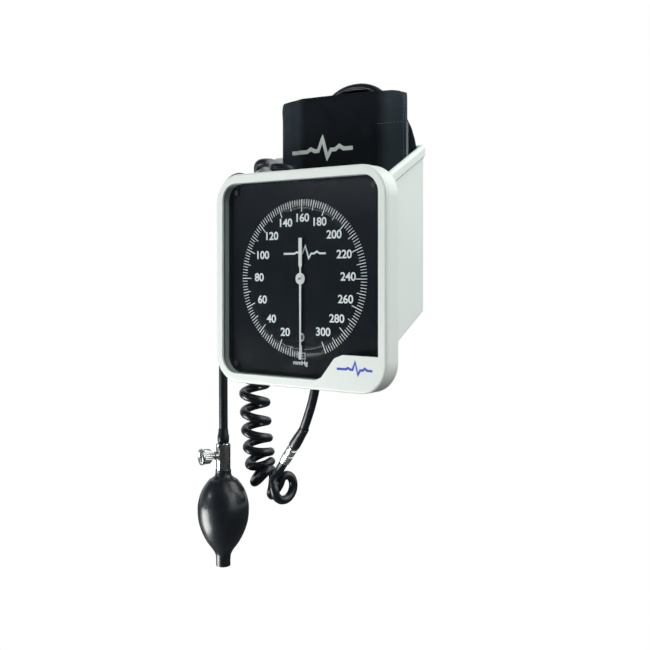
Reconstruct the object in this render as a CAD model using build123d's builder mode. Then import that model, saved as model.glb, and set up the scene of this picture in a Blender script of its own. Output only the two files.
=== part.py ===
"""Wall-mounted clock aneroid sphygmomanometer: dial head, storage basket, rolled cuff, curly hose, bulb.

Frame: the origin is the centre of the wall bracket's hole pattern, on the wall.  +Z is up, the
wall is the plane Y = 0 and the dial faces -Y.  The dial's axis passes through the origin.
Depths called "behind the face" are measured from the dial head's front face towards the wall.
"""
from build123d import *
import math
import os

# ---------------------------------------------------------------- driving dimensions (mm)
face_to_wall = 73.0         # dial head's front face to the wall
head_width = 177.4
head_height = 178.0
head_corner = 25.0
head_depth = 16.6
head_wall = 2.2
window_size = 162.3
window_corner = 15.0

basket_half = 79.0          # outside of the side walls
basket_wall = 2.0
basket_back_gap = 4.0       # back wall to the building's wall
rim_front_z = 81.8
rim_slope = 28.2            # degrees, rising towards the wall
floor_front_z = -59.4
floor_slope = 31.4
rim_band = 2.0              # how far the rim band stands out
rim_band_height = 11.0
rim_band_bevel = 1.9        # lower edge of the band
rim_round = 3.0             # its upper outer edge

tube_d = 7.8                # rubber tubing, outside
coil_r = 14.35              # curly hose, outside radius of the coil
case_r = 27.0               # movement case
case_depth = 17.4

gear_module = 0.5
pinion_teeth = 12
sector_teeth = 75           # on the full circle that the sector is cut from
tooth_backlash = 0.2        # taken off each tooth's thickness
sector_travel = 54.0        # degrees for the full 300 mmHg scale

cuff_width = 131.0
cuff_thick = 16.6
cuff_height = 154.0
cuff_x = 10.5
cuff_y = -15.2
cuff_bottom = -1.0

bulb_x = -100.5
bulb_y = -51.0
bulb_top = -171.6
valve_azimuth = 243.3       # direction that the release knob points in, degrees from +X

face_y = -face_to_wall
head_back_y = face_y + head_depth
basket_back_y = -basket_back_gap
sector_centre = gear_module * (pinion_teeth + sector_teeth) / 2

os.makedirs("parts", exist_ok=True)


# ---------------------------------------------------------------- helpers
def facing(behind_face):
    """Plane parallel to the dial, its +Z towards the viewer, local y up."""
    return Plane(origin=(0, face_y + behind_face, 0), x_dir=(1, 0, 0), z_dir=(0, -1, 0))


def save(name, builder):
    builder.part.label = name
    export_step(builder.part, "parts/" + name + ".step")


def turn_radii(points):
    """Largest tangent arc that each corner of a route allows: 0.45 of the shorter run."""
    radii = []
    for before, corner, after in zip(points, points[1:], points[2:]):
        run_in = Vector(*corner) - Vector(*before)
        run_out = Vector(*after) - Vector(*corner)
        turn = math.radians(run_in.get_angle(run_out))
        radii.append(0.45 * min(run_in.length, run_out.length) / math.tan(turn / 2))
    return radii


def swept_round(name, points, diameter):
    """Round bar along straight runs joined by tangent arcs; prints radii and the volume check."""
    radii = turn_radii(points)
    with BuildPart() as bar:
        with BuildLine() as path:
            FilletPolyline(*points, radius=radii)
        route = path.wires()[0]
        with BuildSketch(Plane(origin=route @ 0, z_dir=route % 0)):
            Circle(diameter / 2)
        sweep(path=route)
    expected = math.pi * diameter ** 2 / 4 * route.length
    print(f"{name}: length {route.length:.1f}, radii {[round(r, 1) for r in radii]}, "
          f"volume ratio {bar.part.volume / expected:.3f}")
    save(name, bar)


def disc_between(behind_front, behind_back, radius, centre=(0, 0)):
    """Disc or post on the dial's axis direction, between two depths behind the face."""
    with BuildSketch(facing(behind_back)) as outline:
        with Locations(centre):
            Circle(radius)
    extrude(outline.sketch, amount=behind_back - behind_front)


def cut_disc(behind_front, behind_back, radius, centre=(0, 0)):
    with BuildSketch(facing(behind_back)) as outline:
        with Locations(centre):
            Circle(radius)
    extrude(outline.sketch, amount=behind_back - behind_front, mode=Mode.SUBTRACT)


def rounded_frame(behind_front, behind_back, outer, inner, outer_corner, inner_corner):
    """Rounded-square ring between two depths; sizes are (width, height)."""
    with BuildSketch(facing(behind_back)) as outline:
        RectangleRounded(outer[0], outer[1], outer_corner)
        RectangleRounded(inner[0], inner[1], inner_corner, mode=Mode.SUBTRACT)
    extrude(outline.sketch, amount=behind_back - behind_front)


# ---------------------------------------------------------------- wall bracket
bracket_half = 34.0
bracket_bottom = -22.0
bracket_top = 62.0
bracket_thick = 1.2
tab_half = 46.0
tab_height = 12.0
tab_bottoms = (-16.0, 42.0)
tab_front_y = -3.6
wall_hole_x = 44.0
wall_hole_z = 28.0

with BuildPart() as wall_bracket:
    with BuildSketch(Plane.XZ):
        with Locations((0, (bracket_bottom + bracket_top) / 2)):
            RectangleRounded(2 * bracket_half, bracket_top - bracket_bottom, 4)
        with GridLocations(wall_hole_x, wall_hole_z, 2, 2):
            Circle(2.5, mode=Mode.SUBTRACT)
        with Locations((0, 45)):
            SlotOverall(24, 8, mode=Mode.SUBTRACT)
    extrude(amount=bracket_thick)
    for side in (-1, 1):
        for bottom in tab_bottoms:
            middle = bottom + tab_height / 2
            with BuildSketch(Plane.XZ):
                with Locations((side * (bracket_half + 0.6), middle)):
                    Rectangle(bracket_thick, tab_height)
            extrude(amount=-tab_front_y)
            with BuildSketch(Plane.XZ.offset(-tab_front_y - bracket_thick)):
                with Locations((side * (bracket_half + tab_half) / 2, middle)):
                    Rectangle(tab_half - bracket_half, tab_height)
            extrude(amount=bracket_thick)
            with BuildSketch(Plane.XZ):
                with Locations((side * (bracket_half - 1), middle)):
                    Rectangle(4, tab_height)
            extrude(amount=bracket_thick)
save("wall_bracket", wall_bracket)


# ---------------------------------------------------------------- storage basket
def rim_z(y):
    return rim_front_z + (y - head_back_y) * math.tan(math.radians(rim_slope))


def floor_z(y):
    return floor_front_z + (y - head_back_y) * math.tan(math.radians(floor_slope))


inside_front_y = head_back_y + basket_wall
inside_back_y = basket_back_y - basket_wall
floor_thick = basket_wall / math.cos(math.radians(floor_slope))
head_screw_spots = [(-60, -44), (60, -44), (-28, 66), (28, 66)]
case_opening_r = 33.0
side_edge_round = 1.8       # where the side walls meet the sloping floor
hook_x = 42.95              # hooks on the back wall, each with a pocket for a bracket tab
hook_y = -2.2
hook_width = 13.1
hook_depth = 3.6
hook_roof = 2.0
pocket_x = 41.5
pocket_y = -3.0
pocket_width = 11.0
pocket_depth = 2.0
cavity_top = 130.0          # above every point of the sloping rim
port_y = -42.6              # air line through the floor to the movement
floor_hole_r = 7.0
screw_clear_r = 1.7

with BuildPart() as storage_basket:
    with BuildSketch(Plane.YZ.offset(-basket_half)):
        Polygon((head_back_y, floor_z(head_back_y)), (head_back_y, rim_z(head_back_y)),
                (basket_back_y, rim_z(basket_back_y)), (basket_back_y, floor_z(basket_back_y)),
                align=None)
    extrude(amount=2 * basket_half)
    front_edge = storage_basket.edges().filter_by(Axis.X).sort_by(Axis.Z)[0:1]
    fillet(front_edge, 3)
    for side in (-1, 1):
        side_face = storage_basket.faces().filter_by(Axis.X).sort_by(Axis.X)[-1 if side > 0 else 0]
        slanted = [edge for edge in side_face.edges() if edge.center().Z < 0 and edge.length > 40]
        fillet([edge for edge in slanted if abs(edge.tangent_at(0.5).Y) > 0.5], side_edge_round)
    with BuildSketch(Plane.YZ.offset(-basket_half + basket_wall)):
        Polygon((inside_front_y, floor_z(inside_front_y) + floor_thick), (inside_front_y, cavity_top),
                (inside_back_y, cavity_top),
                (inside_back_y, floor_z(inside_back_y) + floor_thick), align=None)
    extrude(amount=2 * (basket_half - basket_wall), mode=Mode.SUBTRACT)
    for side in (-1, 1):
        with BuildSketch(Plane.YZ.offset(side * basket_half)):
            Polygon((head_back_y, rim_z(head_back_y) - rim_band_height),
                    (head_back_y, rim_z(head_back_y)),
                    (basket_back_y, rim_z(basket_back_y)),
                    (basket_back_y, rim_z(basket_back_y) - rim_band_height), align=None)
        extrude(amount=side * rim_band)
        band_face = storage_basket.faces().filter_by(Axis.X).sort_by(Axis.X)[-1 if side > 0 else 0]
        long_edges = [edge for edge in band_face.edges() if abs(edge.tangent_at(0.5).Y) > 0.5]
        chamfer(min(long_edges, key=lambda edge: edge.center().Z), rim_band_bevel)
        band_face = storage_basket.faces().filter_by(Axis.X).sort_by(Axis.X)[-1 if side > 0 else 0]
        long_edges = [edge for edge in band_face.edges() if abs(edge.tangent_at(0.5).Y) > 0.5]
        fillet(max(long_edges, key=lambda edge: edge.center().Z), rim_round)
    for side in (-1, 1):
        for bottom in tab_bottoms:
            with BuildSketch(Plane.XY.offset(bottom)):
                with Locations((side * hook_x, hook_y)):
                    Rectangle(hook_width, hook_depth)
            extrude(amount=tab_height + hook_roof)
            with BuildSketch(Plane.XY.offset(bottom)):
                with Locations((side * pocket_x, pocket_y)):
                    Rectangle(pocket_width, pocket_depth)
            extrude(amount=tab_height, mode=Mode.SUBTRACT)
    with BuildSketch(Plane.XZ.offset(-head_back_y)):
        Circle(case_opening_r)
        with Locations(*head_screw_spots):
            Circle(screw_clear_r)
    extrude(amount=-basket_wall, mode=Mode.SUBTRACT)
    with BuildSketch(Plane.XY.offset(floor_front_z)):
        with Locations((0, port_y)):
            Circle(floor_hole_r)
    extrude(amount=20, mode=Mode.SUBTRACT)
save("storage_basket", storage_basket)


# ---------------------------------------------------------------- dial head
flange_thick = 3.0
edge_round = 2.0            # front plate's outer edge
parting_gap = 0.3           # hairline between the front plate and the housing
parting_depth = 0.8
lens_size = 165.6
lens_front = 2.0
lens_thick = 1.5
gasket_thick = 0.8
dial_depth = 8.7            # dial's face behind the head's front face
dial_thick = 1.0
plug_back = 7.0
plug_width = head_width - 2 * head_wall - 0.3
plug_height = head_height - 2 * head_wall - 0.3

with BuildPart() as front_bezel:
    rounded_frame(0, flange_thick, (head_width, head_height), (window_size, window_size),
                  head_corner, window_corner)
    rounded_frame(flange_thick, flange_thick + parting_gap,
                  (head_width - 2 * parting_depth, head_height - 2 * parting_depth),
                  (lens_size + 0.4, lens_size + 0.4), head_corner - parting_depth, window_corner + 1.9)
    rounded_frame(flange_thick, plug_back, (plug_width, plug_height), (lens_size + 0.4, lens_size + 0.4),
                  head_corner - 2.3, window_corner + 1.9)
    with BuildSketch(facing(flange_thick)):
        RectangleRounded(lens_size + 0.4, lens_size + 0.4, window_corner + 1.9)
    extrude(amount=flange_thick - lens_front, mode=Mode.SUBTRACT)
    with BuildSketch(facing(lens_front)):
        with BuildLine():
            Polyline((18.5, -82.0), (26.4, -78.5), (39.3, -62.7), (47.1, -59.6), (82.0, -59.6),
                     (82.0, -73.0), (78.0, -78.0), (73.0, -82.0), close=True)
        make_face()
    extrude(amount=lens_front)
    front_face = front_bezel.faces().sort_by(Axis.Y)[0]
    fillet(front_face.outer_wire().edges(), edge_round)
save("front_bezel", front_bezel)

post_spots = [(-72, -73.7), (72, -73.7), (-72, 73.7), (72, 73.7)]
back_plate = 2.0
back_hole_r = 25.0
case_screw_ring = 29.2

with BuildPart() as rear_housing:
    rounded_frame(flange_thick + parting_gap, head_depth - back_plate, (head_width, head_height),
                  (head_width - 2 * head_wall, head_height - 2 * head_wall),
                  head_corner, head_corner - head_wall)
    with BuildSketch(facing(head_depth)):
        RectangleRounded(head_width, head_height, head_corner)
        Circle(back_hole_r, mode=Mode.SUBTRACT)
        with PolarLocations(case_screw_ring, 3, start_angle=90):
            Circle(1.2, mode=Mode.SUBTRACT)
    extrude(amount=back_plate)
    for spot in post_spots:
        disc_between(dial_depth + dial_thick, head_depth - back_plate, 4.0, spot)
        cut_disc(dial_depth + dial_thick, head_depth - back_plate, 1.15, spot)
    for spot in head_screw_spots:
        disc_between(dial_depth + 2.2, head_depth - back_plate, 4.0, spot)
        cut_disc(dial_depth + 2.7, head_depth, 1.4, spot)
save("rear_housing", rear_housing)

with BuildPart() as lens:
    with BuildSketch(facing(lens_front + lens_thick)):
        RectangleRounded(lens_size, lens_size, window_corner + 1.7)
    extrude(amount=lens_thick)
save("lens", lens)

gasket_front = lens_front + lens_thick
surround_front = gasket_front + gasket_thick
with BuildPart() as lens_gasket:
    rounded_frame(gasket_front, surround_front, (lens_size, lens_size),
                  (window_size + 0.6, window_size + 0.6), window_corner + 1.7, window_corner)
save("lens_gasket", lens_gasket)

with BuildPart() as dial_surround:
    rounded_frame(surround_front, dial_depth, (lens_size, lens_size),
                  (window_size, window_size), window_corner + 1.7, window_corner)
save("dial_surround", dial_surround)

groove_outer_r = 62.8
groove_inner_r = 57.9
with BuildPart() as dial_plate:
    with BuildSketch(facing(dial_depth + dial_thick)):
        RectangleRounded(lens_size, lens_size, window_corner + 1.7)
        Circle(3.0, mode=Mode.SUBTRACT)
        with Locations(*post_spots):
            Circle(1.5, mode=Mode.SUBTRACT)
    extrude(amount=dial_thick)
    with BuildSketch(facing(dial_depth + 0.3)):
        Circle(groove_outer_r)
        Circle(groove_inner_r, mode=Mode.SUBTRACT)
    extrude(amount=0.3, mode=Mode.SUBTRACT)
save("dial_plate", dial_plate)

with BuildPart() as dial_screws:
    for spot in post_spots:
        disc_between(dial_depth - 1.4, dial_depth, 2.6, spot)
        disc_between(dial_depth, dial_depth + 5.2, 1.1, spot)
    head_rims = dial_screws.edges().filter_by(GeomType.CIRCLE).sort_by(Axis.Y)[0:4]
    fillet(head_rims, 0.6)
save("dial_screws", dial_screws)

with BuildPart() as head_screws:
    for spot in head_screw_spots:
        disc_between(head_depth + basket_wall, head_depth + basket_wall + 1.8, 3.0, spot)
        disc_between(dial_depth + 3.2, head_depth + basket_wall, 1.35, spot)
save("head_screws", head_screws)


# ---------------------------------------------------------------- movement case
case_back = head_depth + case_depth
ledge_front = 24.4
ledge_inner_r = 21.5
pillar_ring = 23.2
pillar_angles = (90, 200, 340)
pillar_spots = [(pillar_ring * math.cos(math.radians(a)), pillar_ring * math.sin(math.radians(a)))
                for a in pillar_angles]

with BuildPart() as movement_case:
    disc_between(head_depth, head_depth + 1.5, 31.5)
    disc_between(head_depth, case_back, case_r)
    case_rim = movement_case.edges().filter_by(GeomType.CIRCLE).sort_by(Axis.Y)[-1]
    fillet(case_rim, 2.0)
    cut_disc(head_depth, ledge_front, case_r - 1.5)
    cut_disc(ledge_front, case_back - 1.5, ledge_inner_r)
    with BuildSketch(facing(head_depth + 1.5)):
        with PolarLocations(case_screw_ring, 3, start_angle=90):
            Circle(1.2)
    extrude(amount=1.5, mode=Mode.SUBTRACT)
    for spot in pillar_spots:
        cut_disc(ledge_front, ledge_front + 4.0, 0.8, spot)
    with BuildSketch(Plane.XY.offset(-30)):
        with Locations((0, port_y)):
            Circle(3.05)
    extrude(amount=12, mode=Mode.SUBTRACT)
save("movement_case", movement_case)

with BuildPart() as case_screws:
    for angle in (90, 210, 330):
        spot = (case_screw_ring * math.cos(math.radians(angle)),
                case_screw_ring * math.sin(math.radians(angle)))
        disc_between(head_depth + 1.5, head_depth + 3.1, 1.9, spot)
        disc_between(head_depth - 2.0, head_depth + 1.5, 1.1, spot)
save("case_screws", case_screws)


# ---------------------------------------------------------------- movement
plate_r = 25.2
top_plate_front = 17.2
top_plate_back = 18.2
bottom_plate_front = 23.4
bottom_plate_back = ledge_front
arbor_r = 0.8
pivot_hole_r = 0.85
sector_pivot = (0, -sector_centre)

with BuildPart() as top_plate:
    disc_between(top_plate_front, top_plate_back, plate_r)
    cut_disc(top_plate_front, top_plate_back, pivot_hole_r)
    cut_disc(top_plate_front, top_plate_back, pivot_hole_r, sector_pivot)
    for spot in ((-12, 8), (12, 8)):
        cut_disc(top_plate_front, top_plate_back, 5.0, spot)
    for spot in pillar_spots:
        cut_disc(top_plate_front, top_plate_back, 0.8, spot)
save("top_plate", top_plate)

with BuildPart() as bottom_plate:
    disc_between(bottom_plate_front, bottom_plate_back, plate_r)
    cut_disc(bottom_plate_front, bottom_plate_back, pivot_hole_r)
    cut_disc(bottom_plate_front, bottom_plate_back, pivot_hole_r, sector_pivot)
    for spot in pillar_spots:
        cut_disc(bottom_plate_front, bottom_plate_back, 0.8, spot)
save("bottom_plate", bottom_plate)

with BuildPart() as plate_pillars:
    for spot in pillar_spots:
        disc_between(top_plate_back, bottom_plate_front, 1.6, spot)
        cut_disc(top_plate_back, bottom_plate_front, 0.8, spot)
save("plate_pillars", plate_pillars)

with BuildPart() as plate_screws:
    for spot in pillar_spots:
        disc_between(top_plate_front - 0.9, top_plate_front, 1.5, spot)
        disc_between(top_plate_front, ledge_front + 3.5, 0.75, spot)
save("plate_screws", plate_screws)


def involute(angle_at_radius):
    return math.tan(angle_at_radius) - angle_at_radius


def tooth_points(teeth, middle_angle):
    """Eight points of one involute tooth, middle_angle in radians from +x of the sketch."""
    pitch_r = gear_module * teeth / 2
    base_r = pitch_r * math.cos(math.radians(20))
    root_r = pitch_r - 1.2 * gear_module
    tip_r = pitch_r + 0.9 * gear_module
    half_pitch = (math.pi * gear_module / 2 - tooth_backlash) / 2 / pitch_r
    at_base = half_pitch + involute(math.acos(base_r / pitch_r))
    right = [(root_r - 0.3, at_base), (max(base_r, root_r), at_base)]
    for radius in (pitch_r, tip_r):
        right.append((radius, at_base - involute(math.acos(base_r / radius))))
    left = [(radius, -angle) for radius, angle in reversed(right)]
    return [(radius * math.cos(middle_angle + angle), radius * math.sin(middle_angle + angle))
            for radius, angle in right + left]


pinion_front = 18.8
pinion_back = 20.6
with BuildPart() as pinion_shaft:
    with BuildSketch(facing(pinion_back)):
        Circle(gear_module * pinion_teeth / 2 - 1.2 * gear_module)
        for index in range(pinion_teeth):
            tooth = tooth_points(pinion_teeth, math.radians(-90 + (index + 0.5) * 360 / pinion_teeth))
            with BuildLine():
                Polyline(*tooth, close=True)
            make_face()
    extrude(amount=pinion_back - pinion_front)
    disc_between(4.6, bottom_plate_back, arbor_r)
    disc_between(pinion_back, pinion_back + 1.2, 1.5)
save("pinion_shaft", pinion_shaft)

sector_front = 19.2
sector_back = 20.2
sector_pitch_r = gear_module * sector_teeth / 2
sector_root_r = sector_pitch_r - 1.2 * gear_module
first_tooth = -1
last_tooth = 12
tooth_step = 360 / sector_teeth
with BuildPart() as sector_gear:
    with BuildSketch(facing(sector_back)):
        with BuildLine():
            start_angle = 90 - (last_tooth + 0.6) * tooth_step
            arc_size = (last_tooth - first_tooth + 1.2) * tooth_step
            rim_arc = CenterArc((0, -sector_centre), sector_root_r, start_angle, arc_size)
            Line(rim_arc @ 1, (0, -sector_centre))
            Line((0, -sector_centre), rim_arc @ 0)
        make_face()
        with Locations((0, -sector_centre)):
            Circle(2.4)
        with Locations((5.5, -sector_centre + 10.5)):
            Circle(3.2, mode=Mode.SUBTRACT)
    extrude(amount=sector_back - sector_front)
    with BuildSketch(facing(sector_back)):
        for index in range(first_tooth, last_tooth + 1):
            tooth = tooth_points(sector_teeth, math.radians(90 - index * tooth_step))
            with BuildLine():
                Polyline(*[(x, z - sector_centre) for x, z in tooth], close=True)
            make_face()
    extrude(amount=sector_back - sector_front)
    disc_between(top_plate_front, bottom_plate_back, arbor_r, sector_pivot)
save("sector_gear", sector_gear)

spring_turns = 2.5
spring_steps = 30
spring_inner_r = 2.0
spring_growth = 1.5         # radius gained in each turn
spring_strip = 0.25


def spiral_points(extra):
    points = []
    for step in range(spring_steps + 1):
        turn = spring_turns * step / spring_steps
        radius = spring_inner_r + spring_growth * turn + extra
        points.append((radius * math.cos(2 * math.pi * turn), radius * math.sin(2 * math.pi * turn)))
    return points


with BuildPart() as hairspring:
    with BuildSketch(facing(22.8)):
        with BuildLine():
            inner = Spline(*spiral_points(0))
            outer = Spline(*spiral_points(spring_strip))
            Line(inner @ 0, outer @ 0)
            Line(inner @ 1, outer @ 1)
        make_face()
    extrude(amount=0.7)
save("hairspring", hairspring)

capsule_front = 28.4
capsule_back = 32.3
capsule_r = 20.5
capsule_skin = 1.2
corrugation = 0.5           # depth of each pressed ring
corrugation_half = 1.0
capsule_boss_r = 3.0
with BuildPart() as pressure_capsule:
    disc_between(capsule_front, capsule_back, capsule_r)
    for ring_r in (8.0, 12.5, 17.0):
        for ring_front in (capsule_front, capsule_back - corrugation):
            with BuildSketch(facing(ring_front + corrugation)):
                Circle(ring_r + corrugation_half)
                Circle(ring_r - corrugation_half, mode=Mode.SUBTRACT)
            extrude(amount=corrugation, mode=Mode.SUBTRACT)
    cut_disc(capsule_front + capsule_skin, capsule_back - capsule_skin, capsule_r - 1.5)
    disc_between(capsule_front - 0.4, capsule_front, capsule_boss_r)
    disc_between(capsule_back, case_back - 1.5, capsule_boss_r)
save("pressure_capsule", pressure_capsule)

with BuildPart() as capsule_plunger:
    disc_between(27.4, 28.0, 2.2)
    disc_between(25.8, 27.4, 0.8)
save("capsule_plunger", capsule_plunger)

port_bottom = -36.0
port_hex_bottom = -30.0
port_stem_bottom = -27.2
port_top = -21.2
port_bore_r = 1.2
with BuildPart() as gauge_port:
    with BuildSketch(Plane.XY.offset(port_bottom)):
        with Locations((0, port_y)):
            Circle(3.4)
    extrude(amount=port_hex_bottom - port_bottom)
    with BuildSketch(Plane.XY.offset(port_hex_bottom)):
        with Locations((0, port_y)):
            RegularPolygon(4.6, 6)
    extrude(amount=port_stem_bottom - port_hex_bottom)
    with BuildSketch(Plane.XY.offset(port_stem_bottom)):
        with Locations((0, port_y)):
            Circle(3.0)
    extrude(amount=port_top - port_stem_bottom)
    with BuildSketch(Plane.XY.offset(port_bottom)):
        with Locations((0, port_y)):
            Circle(port_bore_r)
    extrude(amount=port_top - port_bottom, mode=Mode.SUBTRACT)
save("gauge_port", gauge_port)


# ---------------------------------------------------------------- pointer
pointer_front = 6.2
pointer_back = 6.8
pointer_hub_r = 4.75
tip_reach = 66.3
tip_half = 0.55
root_half = 1.05
neck_half = 0.6
neck_reach = 8.6
bar_half = 1.7
bar_start = 11.0
tail_reach = 33.4
with BuildPart() as pointer:
    with BuildSketch(facing(pointer_back)):
        Circle(pointer_hub_r)
        with BuildLine():
            Polyline((-root_half, 0), (-tip_half, -tip_reach), (tip_half, -tip_reach),
                     (root_half, 0), (neck_half, neck_reach), (bar_half, bar_start),
                     (bar_half, tail_reach), (-bar_half, tail_reach), (-bar_half, bar_start),
                     (-neck_half, neck_reach), close=True)
        make_face()
    extrude(amount=pointer_back - pointer_front)
    disc_between(pointer_back, pointer_back + 1.4, 2.0)
    cut_disc(pointer_front, pointer_back + 1.4, arbor_r)
save("pointer", pointer)


# ---------------------------------------------------------------- gauge hose, luer joint and coil
gauge_route = [(0, port_y, port_bottom), (1.2, -43.2, -57), (0.6, -43.0, -76),
               (-3.2, -42.8, -94.5), (-9.6, -41.8, -113), (-18.2, -40.0, -129.9)]
swept_round("gauge_hose", gauge_route, tube_d)

luer_start = Vector(-18.2, -40.0, -129.9)
luer_end = Vector(-42.0, -36.0, -159.4)
luer_way = (luer_end - luer_start).normalized()


def along_luer(distance):
    return Plane(origin=luer_start + luer_way * distance, z_dir=luer_way)


sleeve_length = 19.0
luer_length = (luer_end - luer_start).length - sleeve_length
with BuildPart() as hose_sleeve:
    with BuildSketch(along_luer(0)):
        Circle(4.2)
    with BuildSketch(along_luer(sleeve_length)):
        Circle(4.9)
    loft()
save("hose_sleeve", hose_sleeve)

half_luer = luer_length / 2
with BuildPart() as luer_socket:
    with BuildSketch(along_luer(sleeve_length)):
        Circle(4.3)
    extrude(amount=half_luer - 0.2)
    with BuildSketch(along_luer(sleeve_length + 1.6)):
        Circle(4.6)
    extrude(amount=half_luer - 1.8)
save("luer_socket", luer_socket)

with BuildPart() as luer_plug:
    with BuildSketch(along_luer(sleeve_length + half_luer + 0.2)):
        Circle(2.0)
    extrude(amount=half_luer - 2.2)
    with BuildSketch(along_luer(sleeve_length + luer_length - 2.0)):
        Circle(4.4)
    extrude(amount=2.0)
save("luer_plug", luer_plug)

with BuildPart() as luer_collar:
    with BuildSketch(along_luer(sleeve_length + half_luer + 0.2)):
        Circle(4.7)
        Circle(2.05, mode=Mode.SUBTRACT)
    extrude(amount=half_luer - 2.5)
    collar_edges = luer_collar.edges().filter_by(GeomType.CIRCLE)
    chamfer(collar_edges.group_by(Axis.Z)[0], 0.3)
save("luer_collar", luer_collar)

coil_start_route = [tuple(luer_end), tuple(luer_end + luer_way * 8), (-52.2, -35.0, -174.6)]
swept_round("coil_start_hose", coil_start_route, tube_d)

coil_hanging_route = [(-96.2, -16, 76), (-92.6, -17.0, -168), (-46.0, -32.4, -190.0)]


def coil_solid(name, points, corner_r):
    """Closed solid of a curly hose's outside: one fat bar of the coil's own diameter."""
    with BuildPart() as fat:
        with BuildLine() as path:
            if len(points) == 2:
                Line(*points)
            else:
                FilletPolyline(*points, radius=corner_r)
        route = path.wires()[0]
        with BuildSketch(Plane(origin=route @ 0, z_dir=route % 0)):
            Circle(coil_r)
        sweep(path=route)
    save(name, fat)


coil_solid("coil_hanging", coil_hanging_route, 23)
drop_top = (-42.0, -39.4, 97.0)
drop_bottom = (-50.0, -38.6, 2.0)
coil_solid("coil_inside", [drop_top, drop_bottom], 0)
stow_y = -23.0
stow_z = -18.0
stow_left = -30.0
stow_right = 36.0
coil_solid("coil_stowed", [(stow_left, stow_y, stow_z), (stow_right, stow_y, stow_z)], 0)

over_rim_route = [(-93, -17, 76), (-92.5, -18.5, 96), (-88, -22.5, 111.4), (-71, -25, 111.4),
                  (-58, -31, 108.5), (-48, -38, 98.5)]
swept_round("over_rim_hose", over_rim_route, tube_d)

coil_link_route = [(-45, -31, 2), (-42, -26.5, -8), (-37.5, -23.2, -16.5), (-30, -22.5, -20)]
swept_round("coil_link_hose", coil_link_route, tube_d)

core_y = -14.2
union_bottom = 20.0
union_top = 23.0
union_x = 62.0
coil_end_route = [(36, -21, -19), (46, -19, -20.5), (56, -15.6, -14), (61, core_y, 2),
                  (union_x, core_y, union_bottom)]
swept_round("coil_end_hose", coil_end_route, tube_d)

with BuildPart() as hose_union:
    with BuildSketch(Plane.XY.offset(union_bottom)):
        with Locations((union_x, core_y)):
            Circle(tube_d / 2)
            Circle(1.4, mode=Mode.SUBTRACT)
    extrude(amount=union_top - union_bottom)
save("hose_union", hose_union)


# ---------------------------------------------------------------- cuff hose and bulb hose
inflation_port = (-21.0, core_y, 98.0)
deflation_port = (-36.0, core_y, 62.0)
wrap_wall = 1.5
inner_thick = cuff_thick - 2 * wrap_wall - 0.3
inner_width = cuff_width - 2 * wrap_wall - 0.3
bladder_thick = 1.6
bladder_back_y = cuff_y - inner_thick / 2 + wrap_wall + 0.1 + bladder_thick
cuff_route = [(union_x, core_y, union_top), (64.5, core_y, 74), (63, core_y, 121),
              (51.5, core_y, 150), (34, core_y, 162), (8, core_y, 162), (-10, core_y, 149),
              (-19, core_y, 122), inflation_port]
swept_round("cuff_hose", cuff_route, tube_d)

bulb_route = [deflation_port, (-40, core_y, 32), (-46.5, core_y, 4), (-49, -18, -14),
              (-57, -27, -26), (-67, -39, -27), (-70.5, -47.5, -14), (-69, -49.8, 8),
              (-68.4, -50.1, 44), (-67.5, -49.8, 76), (-72, -50.1, 97), (-89, -50.5, 96.8),
              (-100.4, -50.8, 78), (-100.8, bulb_y, 46), (-100.3, bulb_y, -8),
              (-100.7, bulb_y, -64), (bulb_x, bulb_y, -112), (bulb_x + 0.2, bulb_y, -136)]
swept_round("bulb_hose", bulb_route, tube_d)

with BuildPart() as bladder_ports:
    for x, y, z, way in ((*inflation_port, -1), (*deflation_port, 1)):
        with BuildSketch(Plane.XY.offset(z)):
            with Locations((x, y)):
                Circle(2.6)
        extrude(amount=way * 9.0)
        with BuildSketch(Plane.XZ.offset(-core_y)):
            with Locations((x, z + way * 6.0)):
                Circle(2.0)
        extrude(amount=core_y - bladder_back_y)
save("bladder_ports", bladder_ports)


# ---------------------------------------------------------------- rolled cuff
def stadium_ring(thickness, width, wall, bottom, top):
    """Flattened tube on the cuff's centre: one wrap of the roll."""
    with BuildSketch(Plane.XY.offset(bottom)) as outline:
        with Locations((cuff_x, cuff_y)):
            SlotOverall(width, thickness)
            SlotOverall(width - 2 * wall, thickness - 2 * wall, mode=Mode.SUBTRACT)
    extrude(outline.sketch, amount=top - bottom)


cuff_top = cuff_bottom + cuff_height
with BuildPart() as cuff_outer_wrap:
    stadium_ring(cuff_thick, cuff_width, wrap_wall, cuff_bottom, cuff_top)
save("cuff_outer_wrap", cuff_outer_wrap)

with BuildPart() as cuff_inner_wrap:
    stadium_ring(inner_thick, inner_width, wrap_wall, cuff_bottom + 0.5, cuff_top - 0.5)
save("cuff_inner_wrap", cuff_inner_wrap)

with BuildPart() as cuff_bladder:
    with BuildSketch(Plane.XZ.offset(-bladder_back_y)):
        with Locations((cuff_x, 74)):
            RectangleRounded(104, 128, 8)
    extrude(amount=bladder_thick)
save("cuff_bladder", cuff_bladder)

with BuildPart() as hook_tape:
    with BuildSketch(Plane.XZ.offset(-(cuff_y + cuff_thick / 2))):
        with Locations((cuff_x - 12, 76)):
            RectangleRounded(70, 132, 4)
    extrude(amount=-0.9)
save("hook_tape", hook_tape)

with BuildPart() as cuff_binding:
    with BuildSketch(Plane.XZ.offset(-(cuff_y - cuff_thick / 2))):
        with Locations((cuff_x + 53.5, 64)):
            Rectangle(3.0, 126)
    extrude(amount=0.7)
save("cuff_binding", cuff_binding)


# ---------------------------------------------------------------- release valve
valve_r = 6.35
valve_top = -147.5
knob_z = -158.2
valve_way = Vector(math.cos(math.radians(valve_azimuth)), math.sin(math.radians(valve_azimuth)), 0)
valve_axis = Vector(bulb_x, bulb_y, knob_z)


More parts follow.
